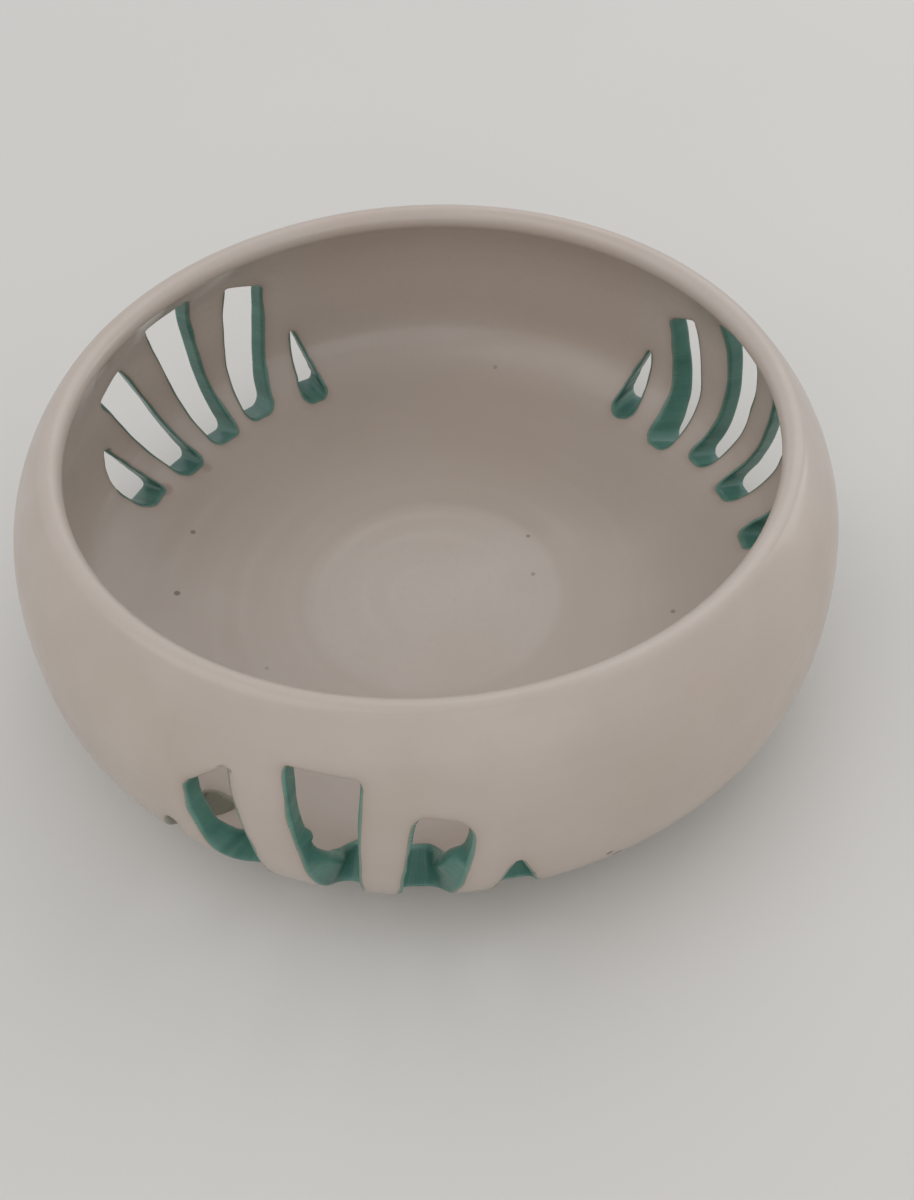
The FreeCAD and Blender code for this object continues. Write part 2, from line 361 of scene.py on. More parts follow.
def thrown(points, outside, shape):
    """The points, moved by the marks of throwing.

    outside is 0 on the inner face and 1 on the outer one.  Each point moves along
    the line from a place on the axis, by sines of the distance along the section
    and of the azimuth.  The lip dips by a cosine.
    """
    azimuth = np.arctan2(points[..., 1], points[..., 0])
    radius = np.hypot(points[..., 0], points[..., 1])
    inner = section_distance(points, INSIDE)
    outer = section_distance(points, OUTSIDE)
    finger = sum(ripple(inner, azimuth, *values) for values in FINGER_RIPPLES)
    disc = shape.floor_disc + DISC_SHIFT * np.cos(azimuth)
    finger += DISC_STEP * soft_step(inner, disc, DISC_WIDTH)
    finger -= FLOOR_STEP * soft_step(inner, shape.floor_edge, FLOOR_WIDTH)
    finger *= 1.0 - np.exp(-((radius / CALM_MIDDLE) ** 2))
    rib = ripple(outer, azimuth, *RIB_RIPPLE)
    rib += RIB_WAVE * np.sin(RIB_WAVE_TURNS * azimuth + outer / RIB_WAVE_CLIMB)
    rib = (rib - 1.0) * np.clip((points[..., 2] - FOOT_HEIGHT) / RIB_START, 0.0, 1.0)
    depth = shape.ring_depth * ((1.0 - outside) * finger + outside * rib)
    away = points - np.array([0.0, 0.0, TURNING_CENTRE])
    reach = np.maximum(np.linalg.norm(away, axis=-1), MM)
    moved = points + away * (depth / reach)[..., None]
    high = np.clip((points[..., 2] - BELLY_HEIGHT) / (BOWL_HEIGHT - BELLY_HEIGHT), 0.0, 1.0)
    dip = 0.5 + 0.5 * np.cos(LIP_WAVES * azimuth + LIP_PHASE)
    moved[..., 2] -= shape.lip_dip * high**2 * dip
    return moved


def turned(azimuths, radius, height):
    """Points at azimuths, radii and heights."""
    parts = radius * np.cos(azimuths), radius * np.sin(azimuths), height
    return np.stack(np.broadcast_arrays(*parts), -1)


def wall_point(azimuths, slopes, share, shape):
    """Points in the wall, a share of the way along each cut from the inner face."""
    inner, outer = wall_place(slopes, INSIDE), wall_place(slopes, OUTSIDE)
    radius, height = [a + (b - a) * share for a, b in zip(inner, outer)]
    return thrown(turned(azimuths, radius, height), share, shape)


# --- slots


def long_edge(row, second, share):
    """Azimuth and slope along one long edge of a slot, at shares of its height: the
    azimuth is the parabola through its three values, over the slope."""
    azimuths, sign = np.radians(row[second]), 2.0 * second - 1.0
    foot, head, slant = np.array(row[2:]) * MM
    higher = 0.5 * sign * slant
    levels = slope_of(np.array([foot, 0.5 * (foot + head) + 0.5 * higher, head + higher]))
    middle = (levels[1] - levels[0]) / (levels[2] - levels[0])
    swing = azimuths[2] - azimuths[0]
    bow = (azimuths[1] - azimuths[0] - swing * middle) / (middle * (1.0 - middle))
    azimuth = azimuths[0] + swing * share + bow * share * (1.0 - share)
    return azimuth, levels[0] + (levels[2] - levels[0]) * share


def inside_slot(row, across, up):
    """Azimuth and slope of places in a slot, from a square of sides -1 to 1: a share
    of the way from the first long edge to the second."""
    first = long_edge(row, 0, 0.5 + 0.5 * up)
    second = long_edge(row, 1, 0.5 + 0.5 * up)
    return [a + (b - a) * (0.5 + 0.5 * across) for a, b in zip(first, second)]


def corner_size(row, side, radii):
    """Shares of the square's half sides that one of its corners takes."""
    edge, end = int(side[0] > 0), int(side[1] > 0)
    width = HOLLOW_RADIUS * (long_edge(row, 1, end)[0] - long_edge(row, 0, end)[0])
    tall = HOLLOW_RADIUS * (long_edge(row, edge, 1)[1] - long_edge(row, edge, 0)[1])
    radius = radii[edge + 2 * end] * MM
    across, up = min(radius, NARROW_END_CORNER * width), min(radius, TALL_END_CORNER * width)
    return 2.0 * across / width, 2.0 * up / tall


def corner_quarter(row, side, radii, angles):
    """Part of a quarter ellipse in one corner of the square."""
    wide, high = corner_size(row, side, radii)
    across = side[0] * (1.0 - wide * (1.0 - np.sin(angles)))
    return across, side[1] * (1.0 - high * (1.0 - np.cos(angles)))


def slot_side(row, start, end, count, radii):
    """One side of a slot's outline, between the middles of two of its corners: half a
    quarter ellipse, a straight run and half a quarter ellipse, with evenly spread
    points that are closer together in the corners."""
    half = np.linspace(math.pi / 4, math.pi / 2, CORNER_POINTS)
    leaving = half if start[0] * start[1] < 0 else math.pi / 2 - half
    arriving = half[::-1] if end[0] * end[1] > 0 else math.pi / 2 - half[::-1]
    first = corner_quarter(row, start, radii, leaving)
    last = corner_quarter(row, end, radii, arriving)
    straight = [np.linspace(a[-1], b[0], STRAIGHT_POINTS)[1:-1] for a, b in zip(first, last)]
    square = [joined(parts) for parts in zip(first, straight, last)]
    azimuths, slopes = inside_slot(row, *square)
    in_corner = np.ones(len(azimuths) - 1)
    in_corner[:len(half) - 1] = in_corner[1 - len(half):] = CORNER_WEIGHT
    stretch = np.interp(slopes, WALL_SLOPES[INSIDE], WALL_STRETCH[INSIDE])
    steps = np.hypot(HOLLOW_RADIUS * np.diff(azimuths), stretch[1:] * np.diff(slopes))
    distance = joined([[0.0], np.cumsum(steps * in_corner)])
    places = np.linspace(0.0, distance[-1], count + 1)[:-1]
    return np.interp(places, distance, azimuths), np.interp(places, distance, slopes)


def slot_outline(row, radii, beside, above):
    """A slot's outline: the foot, the second long edge, the head and the first long edge."""
    corners = [(-1, -1), (1, -1), (1, 1), (-1, 1)]
    counts = [CELL_COLUMNS, beside, above, beside]
    pairs = zip(corners, corners[1:] + corners[:1])
    sides = [slot_side(row, *pair, count, radii) for pair, count in zip(pairs, counts)]
    return [joined(parts) for parts in zip(*sides)]


def strayed(row, foot, middle, head, higher):
    """The slot's row as the cut comes out on the outer face."""
    edges = [tuple(np.add(edge, (foot, middle, head))) for edge in row[:2]]
    return (*edges, row[2] + higher, row[3] + higher, row[4])


def waver(position, share, seed, count):
    """An uneven closed wave round a slot, up to a share each way: a sum of some sines."""
    chance = np.random.default_rng(seed)
    size = chance.uniform(0.4, 1.0, count)
    phase = chance.uniform(0.0, 2.0 * math.pi, count)
    turns = 2 * np.arange(1, count + 1) + chance.integers(0, 2, count)
    waves = [a * np.sin(math.tau * n * position + p) for a, n, p in zip(size, turns, phase)]
    return share * (sum(waves) / size.sum())


class SlotCut:
    """One slot's outline on both faces, from the middle of its first foot corner.

    It has one point for each point round its cell.  The head answers to all of the
    cell above it, and the outer outline lies behind the inner, unless the cut strays.
    """

    def __init__(self, name, shape):
        self.name, self.shape = name, shape
        self.seed = sorted(SLOT_ROWS).index(name)
        row = SLOT_ROWS[name]
        head = slope_of(row[3] * MM)
        level = (head - BAND_SLOPES[0]) / (BAND_SLOPES[-1] - BAND_SLOPES[0])
        beside = int(round(level * BAND_ROWS))
        self.head_rows = BAND_ROWS - beside
        above = 2 * self.head_rows + CELL_COLUMNS
        rows = (row, strayed(row, *CUT_STRAYS.get(name, NO_STRAY)))
        corners = OTHER_CORNERS.get(name, USUAL_CORNERS)
        self.rings = [slot_outline(*pair, beside, above) for pair in zip(rows, corners)]
        inner = self.rings[INSIDE]
        self.normals = [self.outward(face) for face in FACES]
        radius, stretch = face_measures(inner[1], INSIDE)
        run, rise = [np.roll(part, -1) - part for part in inner]
        steps = np.hypot(radius * run, stretch * rise)
        self.length = steps.sum()
        self.position = joined([[0.0], np.cumsum(steps)[:-1]]) / self.length
        ends = self.position[[CELL_COLUMNS + beside, CELL_COLUMNS + beside + above]]
        past = [soft_step(self.position, end, HEAD_FADE) for end in ends]
        self.headness = 0.5 * (past[0] - past[1])
        self.edge = shape.edge_softness * (1.0 + self.wave(*EDGE_WAVE))
        self.knife = shape.knife_waver * self.wave(*KNIFE_WAVE) - 0.5 * shape.edge_softness

    def wave(self, share, seed, count):
        """An uneven wave of this slot's own."""
        return waver(self.position, share, self.seed + seed, count)

    def outward(self, face):
        """Azimuth and slope for a metre outwards, square to the outline."""
        azimuths, slopes = self.rings[face]
        radius, stretch = face_measures(slopes, face)
        run = radius * (np.roll(azimuths, -1) - np.roll(azimuths, 1))
        rise = stretch * (np.roll(slopes, -1) - np.roll(slopes, 1))
        length = np.hypot(run, rise)
        return rise / length / radius, -run / length / stretch

    def beside(self, face, offset):
        """Places of one face outside the outline by an offset."""
        pairs = zip(self.rings[face], self.normals[face])
        return [ring + (offset + self.knife) * step for ring, step in pairs]

    def place(self, face, offset, depth):
        """Points outside the outline by an offset, and below one face by a depth,
        on the way to the same place of the other face."""
        inner, outer = [
            wall_point(*self.beside(side, offset), side, self.shape) for side in FACES
        ]
        share = depth / np.linalg.norm(outer - inner, axis=-1)
        if face == OUTSIDE:
            share = 1.0 - share
        return inner + (outer - inner) * share[..., None]

    def rim(self, face, turn, swell=0.0):
        """Points on the rounded rim of one face, raised by swell: a quarter circle that
        leaves the face at no turn and is square to it at a quarter turn."""
        reach = self.edge + swell
        offset, depth = self.edge - reach * math.sin(turn), self.edge - reach * math.cos(turn)
        return self.place(face, offset, depth)


def fan_borders(rows):
    """Azimuths of the borders between a fan's cells, at each row of the band: half-way
    between two slots, and on upright above their heads."""
    edges = []
    for row in rows:
        ends = np.array([0.0, 1.0])
        foot, head = 0.5 * (long_edge(row, 0, ends)[1] + long_edge(row, 1, ends)[1])
        share = np.clip((BAND_SLOPES - foot) / (head - foot), 0.0, 1.0)
        edges.append([long_edge(row, second, share)[0] for second in (0, 1)])
    first = np.full(BAND_ROWS + 1, edges[0][0].min() - CELL_MARGIN)
    last = np.full(BAND_ROWS + 1, edges[-1][1].max() + CELL_MARGIN)
    middles = [0.5 * (before[1] + after[0]) for before, after in zip(edges, edges[1:])]
    return [first] + middles + [last]


def cell_border(left, right):
    """A cell's border as azimuths and slopes, round from its first foot corner."""
    foot = np.linspace(left[0], right[0], CELL_COLUMNS + 1)[:-1]
    head = np.linspace(right[-1], left[-1], CELL_COLUMNS + 1)[:-1]
    azimuths = joined([foot, right[:-1], head, left[:0:-1]])
    level = np.ones(CELL_COLUMNS)
    ends = level * BAND_SLOPES[0], level * BAND_SLOPES[-1]
    slopes = joined([ends[0], BAND_SLOPES[:-1], ends[1], BAND_SLOPES[:0:-1]])
    return azimuths, slopes


# --- mesh making


def stand(name, data):
    """A new object in the scene."""
    item = bpy.data.objects.new(name, data)
    bpy.context.scene.collection.objects.link(item)
    return item


class Skin:
    """Collects grids of points, and values at the points, as one mesh."""

    def __init__(self, *names):
        self.points, self.faces, self.count = [], [], 0
        self.values = {name: [] for name in names}

    def add(self, grid, wrap_rows=False, wrap_columns=True, flipped=False, **values):
        """Adds a grid of points, with a face between each four neighbours."""
        rows, columns = grid.shape[:2]
        index = np.arange(rows * columns).reshape(rows, columns) + self.count
        if wrap_rows:
            index = joined([index, index[:1]], 0)
        if wrap_columns:
            index = joined([index, index[:, :1]], 1)
        corners = [index[:-1, :-1], index[:-1, 1:], index[1:, 1:], index[1:, :-1]]
        if flipped:
            corners = corners[::-1]
        self.faces.append(np.stack([corner.ravel() for corner in corners], -1))
        self.points.append(grid.reshape(-1, 3))
        for name, value in values.items():
            value = np.broadcast_to(value, (rows, columns) + np.shape(value)[2:])
            self.values[name].append(value.reshape(rows * columns, -1))
        self.count += rows * columns

    def build(self, name):
        """The mesh as an object, with coinciding points merged and faces outward."""
        mesh = bpy.data.meshes.new(name)
        mesh.from_pydata(joined(self.points), [], joined(self.faces))
        for key, parts in self.values.items():
            value = joined(parts)
            single = value.shape[1] == 1
            kind, field = ("FLOAT", "value") if single else ("FLOAT_VECTOR", "vector")
            mesh.attributes.new(key, kind, "POINT").data.foreach_set(field, value.ravel())
        work = bmesh.new()
        work.from_mesh(mesh)
        bmesh.ops.remove_doubles(work, verts=work.verts, dist=MERGE_DISTANCE)
        bmesh.ops.recalc_face_normals(work, faces=work.faces)
        work.to_mesh(mesh)
        work.free()
        mesh.shade_smooth()
        return stand(name, mesh)


def through_wall(inner, outer, steps):
    """Rows of the inner face, even steps from its last to the outer's, and the outer's."""
    share = np.linspace(0.0, 1.0, steps + 1)[1:-1]
    across = inner[-1] + np.multiply.outer(share, outer[-1] - inner[-1])
    return joined([inner, across, outer[::-1]])


# --- the body


def cell_rings(cut, border, face):
    """The wall round a slot on one face, from the cell's border over the slot's rim.

    Each ring is a power of an even step of the way from the rim to the border.
    Returns the points and how far they are from the slot.
    """
    count = CELL_RINGS + cut.head_rows // ROWS_PER_RING
    near = cut.beside(face, cut.edge)
    grids, distances = [], []
    for share in np.linspace(1.0, 0.0, count + 1)[:-1] ** RING_CROWDING:
        azimuths, slopes = [a + (b - a) * share for a, b in zip(near, border)]
        radius, stretch = face_measures(slopes, face)
        distances.append(np.hypot(radius * (azimuths - near[0]), stretch * (slopes - near[1])))
        grids.append(wall_point(azimuths, slopes, face, cut.shape))
    for turn in EDGE_TURNS:
        distances.append(0.0 * radius)
        grids.append(cut.rim(face, turn))
    return np.stack(grids), np.stack(distances)


def body_cell(skin, cut, left, right):
    """One slot and the wall round it: a grid from the inner border to the outer one."""
    border = cell_border(left, right)
    faces = [cell_rings(cut, border, face) for face in FACES]
    grid, distance = [through_wall(*pair, CUT_STEPS) for pair in zip(*faces)]
    outside = np.zeros(grid.shape[:2])
    outside[len(faces[INSIDE][0]):] = 1.0
    skin.add(grid, **body_values(grid, outside, distance))


def body_values(grid, outside, distance=FAR):
    """Values that the pale glaze reads: the face, the distance from the middle of the
    floor over the lip, and how near a slot is, by an exponential."""
    outside = np.broadcast_to(outside, grid.shape[:2])
    lip = [lengths[-1] for lengths in WALL_LENGTHS]
    down = lip[INSIDE] + lip[OUTSIDE] - section_distance(grid, OUTSIDE)
    section = np.where(outside > 0.5, down, section_distance(grid, INSIDE))
    near = np.exp(-np.asarray(distance) / STAIN_REACH)
    return {"outside": outside, "section": section, "near_slot": near}


def foot_line():
    """The underside's section, from the axis over the foot ring, with rounded edges."""
    turn = np.linspace(0.0, math.pi / 2, FOOT_EDGE_POINTS)
    across, up = FOOT_EDGE * np.cos(turn), FOOT_EDGE * (1.0 - np.sin(turn))
    recess = np.linspace(0.0, FOOT_INNER_RADIUS - RECESS_HEIGHT + FOOT_EDGE, RECESS_POINTS)
    hollow = np.stack([recess, np.full(RECESS_POINTS, RECESS_HEIGHT)], -1)
    inner = np.stack([FOOT_INNER_RADIUS + FOOT_EDGE - across, up], -1)
    outer = np.stack([FOOT_OUTER_RADIUS - FOOT_EDGE + across, up], -1)[::-1]
    return joined([hollow, inner, outer])


def wall_beyond(face, level, above):
    """The places of one face of the wall above or below a level, and its edge there."""
    line, edge = WALL_LINES[face], np.array([wall_place(slope_of(level), face)])
    return line[(line[:, 1] > edge[0, 1]) == above], edge


def floor_line():
    """The floor's section, from the axis to the band of slots."""
    return resampled(FLOOR_POINTS, *wall_beyond(INSIDE, BAND_FOOT, False))


def underside_line():
    """The underside's section, from the axis over the foot ring to the band of slots."""
    wall = resampled(UNDERSIDE_POINTS, *wall_beyond(OUTSIDE, BAND_FOOT, False))
    return joined([foot_line(), wall])


def lip_line():
    """The lip's section from outside to inside, and how far outside each place is."""
    outer, outer_edge = wall_beyond(OUTSIDE, BAND_HEAD, True)
    inner, inner_edge = wall_beyond(INSIDE, BAND_HEAD, True)
    outer = resampled(OUTER_LIP_POINTS, outer_edge, outer)
    inner = resampled(INNER_LIP_POINTS, inner[::-1], inner_edge)
    top = lip_round(np.linspace(OUTER_LIP_TURN, INNER_LIP_TURN, LIP_TOP_POINTS)[1:-1])
    share = np.linspace(1.0, 0.0, LIP_TOP_POINTS)[1:-1]
    outside = joined([np.ones(len(outer)), share, np.zeros(len(inner))])
    return joined([outer, top, inner]), outside


def turned_band(skin, line, azimuths, outside, shape, flipped=False):
    """A line of the section turned once round the axis."""
    outside = np.reshape(outside, (-1, 1)) + 0.0 * azimuths
    grid = thrown(turned(azimuths, line[:, :1], line[:, 1:]), outside, shape)
    skin.add(grid, flipped=flipped, **body_values(grid, outside))


def plain_wall(skin, start, end, shape):
    """The wall between two fans, on both faces.  Returns its azimuths."""
    share = np.linspace(0.0, 1.0, PLAIN_COLUMNS + 1)
    azimuths = start[:, None] + (end - start)[:, None] * share
    slopes = BAND_SLOPES[:, None] + 0.0 * azimuths
    for face in FACES:
        grid = wall_point(azimuths, slopes, face, shape)
        values = body_values(grid, face)
        skin.add(grid, wrap_columns=False, flipped=face == OUTSIDE, **values)
    return azimuths


def pot_skin(shape):
    """The whole bowl as one closed skin: a cell for each slot, and grids for the rest."""
    skin = Skin("outside", "section", "near_slot")
    borders = {fan: fan_borders(rows) for fan, rows in SLOT_FANS.items()}
    fans = list(borders)
    foot, head = [], []
    for fan, following in zip(fans, fans[1:] + fans[:1]):
        for number, (left, right) in enumerate(zip(borders[fan], borders[fan][1:]), 1):
            body_cell(skin, SlotCut(f"{fan}_slot_{number}", shape), left, right)
            foot.append(np.linspace(left[0], right[0], CELL_COLUMNS + 1)[:-1])
            head.append(np.linspace(left[-1], right[-1], CELL_COLUMNS + 1)[:-1])
        start = borders[fan][-1]
        end = start + (borders[following][0] - start) % math.tau
        azimuths = plain_wall(skin, start, end, shape)
        foot.append(azimuths[0, :-1])
        head.append(azimuths[-1, :-1])
    foot, head = joined(foot), joined(head)
    turned_band(skin, floor_line(), foot, 0.0, shape)
    turned_band(skin, underside_line(), foot, 1.0, shape, flipped=True)
    line, outside = lip_line()
    turned_band(skin, line, head, outside, shape)
    return skin


# --- green glaze linings


def brushed_coat(cut, face, distance):
    """Thickness of the green coat at a distance along the section from its outer end.

    It rises by a hyperbolic tangent from a ragged line, and lumps are added on the
    inner rim, each a bell both ways.
    """
    shape = cut.shape
    ragged = cut.wave(*RAGGED_WAVES[face])
    start = shape.glaze_lap * (COAT_START + ragged) + cut.headness * shape.head_bare
    brush = cut.wave(*BRUSH_WAVE) + cut.wave(*HAIR_WAVE)
    thickness = shape.glaze_thickness * THIN_COATS.get(cut.name, 1.0) * (1.0 + brush)
    coat = np.maximum(thickness * np.tanh((distance - start) / COAT_RISE), -SUNK_END)
    if face == INSIDE:
        for place, size, width in GLAZE_LUMPS.get(cut.name, []):
            away = (cut.position - place + 0.5) % 1.0 - 0.5
            across = (distance - LUMP_PLACE) / LUMP_REACH
            lump = size * MM * np.exp(-((away / width) ** 2) - across**2)
            coat = coat + lump * (1.0 - np.exp(-((distance / LUMP_START) ** 2)))
    return coat


def lining_front(cut, face):
    """The front of the coat on one rim, from its outer end to the cut: points and coats."""
    lap = cut.shape.glaze_lap
    rows = []
    for share in LAP_SHARES:
        coat = brushed_coat(cut, face, lap * (1.0 - share))
        rows.append((cut.place(face, cut.edge + lap * share, -coat), coat))
    for turn in RIM_TURNS:
        coat = brushed_coat(cut, face, lap + cut.edge * turn)
        rows.append((cut.rim(face, turn, coat), coat))
    return [np.stack(part) for part in zip(*rows)]


def lining_back(cut, face):
    """The back of the coat on one rim, sunk in the clay."""
    rows = [cut.place(face, cut.edge + cut.shape.glaze_lap, SUNK_BACK)]
    rows += [cut.rim(face, turn, -SUNK_BACK) for turn in EDGE_TURNS[::2]]
    return np.stack(rows)


def lining_skin(name, shape):
    """A coat of glaze in one slot: a closed band through it that laps on to both rims.

    The front is the slot's surface raised by the coat, and the back the same surface
    sunk into the clay.  flow winds the way round the slot into a circle, so that a
    pattern on it closes, and its third part is how far through the slot it is.
    """
    cut = SlotCut(name, shape)
    faces = [lining_front(cut, face) for face in FACES]
    front, coat = [through_wall(*pair, LINING_STEPS) for pair in zip(*faces)]
    back = joined([lining_back(cut, OUTSIDE), lining_back(cut, INSIDE)[::-1]])
    grid = joined([front, back])
    coat = joined([coat, np.zeros(back.shape[:2])])
    through = joined([np.linspace(0.0, 1.0, len(front)), np.linspace(1.0, 0.0, len(back))])
    winding = math.tau * cut.position
    flow = np.empty(grid.shape)
    flow[..., :2] = cut.length / math.tau * np.stack([np.cos(winding), np.sin(winding)], -1)
    flow[..., 2] = through[:, None] * shape.brush_length + FLOW_SHIFT * cut.seed
    skin = Skin("coat", "flow")
    skin.add(grid, wrap_rows=True, coat=coat, flow=flow)
    return skin


# --- materials

# Noises: scale, detail and roughness
NOISES = {
    "cloud": (16.0, 4.0, 0.55),
    # Noise for the painted reflections, pale patches on the outer face
    "painted_reflection": (9.0, 3.0, 0.6),
    "blush": (7.0, 2.0, 0.5),
    "drift": (22.0, 2.0, 0.5),
    "mottle": (420.0, 4.0, 0.65),
    "grit": (900.0, 5.0, 0.7),
    "gloss": (60.0, 3.0, 0.5),
    "skin": (120.0, 2.0, 0.5),
    "streak": (420.0, 3.0, 0.6),
    "broad": (130.0, 2.0, 0.5),
    "depth": (240.0, 3.0, 0.6),
    "paint": (3.0, 2.0, 0.5),
}

# How a value is spread: its two ends, and what they become if that isn't 0 and 1
SPREADS = {
    "cloud": (0.38, 0.64),
    "floor_disc": (42.0 * MM, 46.5 * MM, 0.42, 0.0, "SMOOTHSTEP"),
    # Painted light: the upper part of the inner wall made paler
    "upper_wall": (105.0 * MM, 160.0 * MM, 0.0, 0.8, "SMOOTHSTEP"),
    # Painted reflection: pale patches on the outer face
    "painted_reflection": (0.5, 0.68, 0.0, 0.35, "SMOOTHSTEP"),
    "blush": (0.52, 0.7, 0.0, 0.5, "SMOOTHSTEP"),
    "ring_drift": (0.0, 1.0, 0.0, 4.0),
    "rings": (-1.0, 1.0),
    "ring_shade": (0.2, 1.0, 0.0, 0.05),
    "mottle": (0.5, 0.75, 0.0, 0.28),
    "stain": (0.3, 0.6, 0.5, 1.0),
    "foot_drift": (0.3, 0.7, -0.5 * MM, 0.5 * MM),
    "foot": (1.9 * MM, 2.3 * MM, 1.0, 0.0),
    "grit": (0.4, 0.7),
    "gloss": (0.35, 0.7, 0.30, 0.42),
    "thickness": (0.15 * MM, 0.62 * MM, 0.0, 0.6),
    "broad": (0.3, 0.7, -0.45, 0.45),
    "streak": (0.3, 0.7, -0.25, 0.25),
    "depth": (0.3, 0.7, -0.12, 0.12),
    "thin_edge": (0.02 * MM, 0.28 * MM, 1.0, 0.0),
    "green_gloss": (0.3, 0.7, 0.24, 0.40),
    "paint": (0.3, 0.7),
}

# How strongly a colour or a relief shows
# The first share is how strongly the painted shade over the inside of the bowl shows
INSIDE_PAINTED_SHADE, SLOT_STAIN, THIN_EDGE = 0.55, 0.3, 0.85
RING_RELIEF, MOTTLE_RELIEF, SKIN_RELIEF, BRUSH_RELIEF = 0.15, 0.3, 0.5, 0.6
PALE_RELIEF, GREEN_RELIEF = 0.10 * MM, 0.12 * MM
RING_LENGTH = 5.2 * MM
STAIN_SOFTNESS, SPOT_SOFTNESS = 2.2, 1.7
COAT_WEIGHT, COAT_ROUGHNESS = 0.22, 0.14
CLAY_ROUGHNESS, PAINT_ROUGHNESS = 0.85, 0.6
PAINT_SHADE = 0.97


class Finish:
    """Builds one material's nodes, and tints its base colour step by step."""

    def __init__(self, name, colour):
        self.material = bpy.data.materials.new(name)
        self.material.use_nodes = True
        self.tree, self.colour = self.material.node_tree, colour
        self.place = self.node("TexCoord", "Object", {})

    def fill(self, node, inputs):
        """Links each input to another node's output, or sets it to a value."""
        for key, value in inputs.items():
            socket = node.inputs[key]
            if isinstance(value, bpy.types.NodeSocket):
                self.tree.links.new(value, socket)
            else:
                socket.default_value = (*value, 1.0) if socket.type == "RGBA" else value

    def node(self, kind, output, inputs, **settings):
        """One output of a new node."""
        node = self.tree.nodes.new("ShaderNode" + kind)
        for key, value in settings.items():
            setattr(node, key, value)
        self.fill(node, inputs)
        return node.outputs[output]

    def attribute(self, name, output="Fac"):
        return self.node("Attribute", output, {}, attribute_name=name)

    def noise(self, name, source=None):
        """One of the noises, over the piece's own coordinates or over another source."""
        inputs = dict(zip(("Scale", "Detail", "Roughness"), NOISES[name]))
        return self.node("TexNoise", "Fac", {"Vector": source or self.place, **inputs})

    def ranged(self, source, low, high, to_low=0.0, to_high=1.0, kind="LINEAR"):
        """The share of the way from low to high, spread over another range."""
        inputs = dict(enumerate((source, low, high, to_low, to_high)))
        return self.node("MapRange", "Result", inputs, interpolation_type=kind)

    def spread(self, name, source=None):
        """A source, or else the noise of the same name, spread as its row says."""
        return self.ranged(source or self.noise(name), *SPREADS[name])

    def calculated(self, operation, first, *others):
        """The first value, taken through an operation with each of the others in turn."""
        for other in others:
            inputs = {0: first, 1: other}
            first = self.node("Math", "Value", inputs, operation=operation)
        return first

    def mixed(self, factor, first, second):
        """Two colours, mixed by a factor."""
        inputs = {"Factor": factor, 6: first, 7: second}
        return self.node("Mix", 2, inputs, data_type="RGBA")

    def tint(self, colour, *factors):
        """Lays a colour over the base colour, by the product of the factors."""
        share = self.calculated("MULTIPLY", *factors)
        self.colour = self.mixed(share, self.colour, colour)

    def done(self, inputs):
        """The material, with its base colour and other inputs on the shader."""
        inputs = {"Base Color": self.colour, **inputs}
        self.fill(self.tree.nodes["Principled BSDF"], inputs)
        return self.material

    def bump(self, height, *patterns):
        """Shading as if the surface were raised by the patterns times their shares."""
        parts = [self.calculated("MULTIPLY", *pattern) for pattern in patterns]
        inputs = {"Height": self.calculated("ADD", *parts), "Distance": height}
        return self.node("Bump", "Normal", inputs)


def spot_mask(finish, spots, softness):
    """How much of a spot each place has: the largest of all the spots' masks."""
    mask = 0.0
    for azimuth, radius, height, size, strength in spots:
        inputs = {0: finish.place, 1: turned(math.radians(azimuth), radius * MM, height * MM)}
        away = finish.node("VectorMath", "Value", inputs, operation="DISTANCE")
        fade = (size * MM, size * MM * softness, strength, 0.0, "SMOOTHSTEP")
        mask = finish.calculated("MAXIMUM", finish.ranged(away, *fade), mask)
    return mask


def pale_glaze(colours):
    """Glossy off-white glaze, cloudy and ringed, with iron spots, over buff clay.

    It has painted shade over the whole inside, painted light on the upper inner wall
    and painted reflections on the outer face.
    """
    finish = Finish("pale_glaze", colours.glaze_colour)
    tint, spread, calculated = finish.tint, finish.spread, finish.calculated
    outside, section, near_slot = map(finish.attribute, ("outside", "section", "near_slot"))
    inside = calculated("SUBTRACT", 1.0, outside)
    drift, mottle = finish.noise("drift"), finish.noise("mottle")
    tint(colours.glaze_shade, spread("cloud"))
    # Painted shade: the whole inner face a touch darker and warmer
    tint(colours.glaze_inside_painted_shade, inside, INSIDE_PAINTED_SHADE)
    tint(colours.glaze_pale_and_painted_light, spread("floor_disc", section), inside)
    # Painted light: the upper part of the inner wall made paler
    tint(colours.glaze_pale_and_painted_light, spread("upper_wall", section), inside)
    # Painted reflection: pale patches on the outer face
    tint(colours.glaze_pale_and_painted_light, spread("painted_reflection"), outside)
    tint(colours.glaze_blush, spread("blush"))
    turns = calculated("MULTIPLY", section, math.tau / RING_LENGTH)
    phase = calculated("ADD", turns, spread("ring_drift", drift))
    rings = spread("rings", calculated("SINE", phase, 0.0))
    tint(colours.glaze_shade, spread("ring_shade", rings))
    tint(colours.glaze_shade, spread("mottle", mottle))
    stains = spot_mask(finish, IRON_STAINS, STAIN_SOFTNESS)
    tint(colours.iron_stain, stains, spread("stain", mottle))
    tint(colours.green_edge, near_slot, SLOT_STAIN)
    tint(colours.iron_spot, spot_mask(finish, IRON_SPOTS, SPOT_SOFTNESS))
    height = finish.node("SeparateXYZ", "Z", {0: finish.place})
    foot = spread("foot", calculated("ADD", height, spread("foot_drift", drift)))
    tint(finish.mixed(spread("grit"), colours.clay, colours.clay_grit), foot)
    patterns = (rings, RING_RELIEF), (mottle, MOTTLE_RELIEF), (finish.noise("skin"), SKIN_RELIEF)
    return finish.done({
        "Roughness": finish.ranged(foot, 0.0, 1.0, spread("gloss"), CLAY_ROUGHNESS),
        "Coat Weight": COAT_WEIGHT,
        "Coat Roughness": COAT_ROUGHNESS,
        "Normal": finish.bump(PALE_RELIEF, *patterns),
    })


